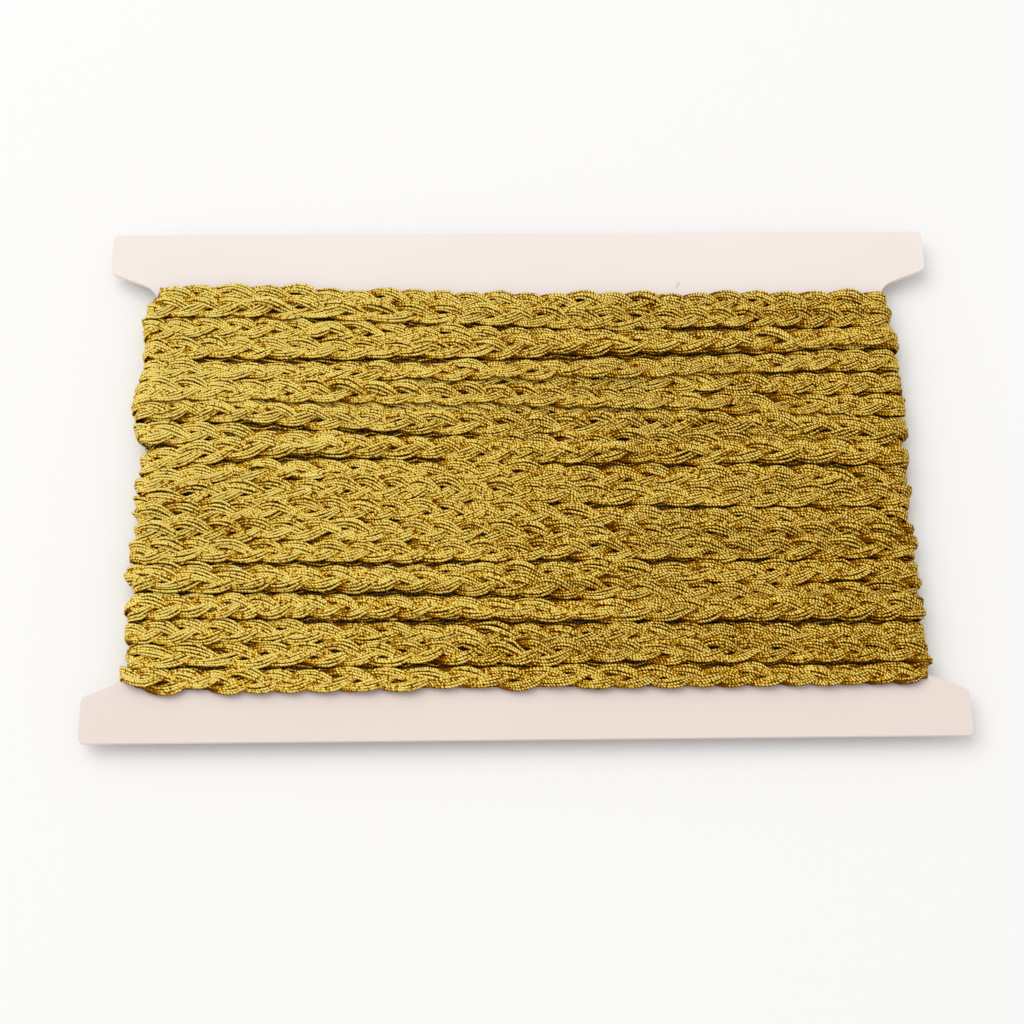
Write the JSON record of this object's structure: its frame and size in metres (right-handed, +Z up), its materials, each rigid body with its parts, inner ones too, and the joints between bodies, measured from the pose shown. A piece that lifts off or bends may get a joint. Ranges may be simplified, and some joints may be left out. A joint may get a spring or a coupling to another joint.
{
  "type": "metallic braid trim wound on a card",
  "caption": "Flat plaited metallic gold braid wound in uneven, overlapping turns round the waist of a pale H-shaped card.",
  "frame": {"origin": "under the middle of the card, on the surface that the underside of the winding rests on", "axes": "+X along the wound turns, +Y across the turns from the near flange to the far flange, +Z up through the card's thickness"},
  "size_m": [0.22, 0.142, 0.0089],
  "materials": {
    "card": "matt, smooth, off-white with a slight pink cast",
    "braid": "twisted metallic gold cord, glittering"
  },
  "bodies": {
    "root": {"card": "card", "winding": "braid"}
  },
  "joints": []
}
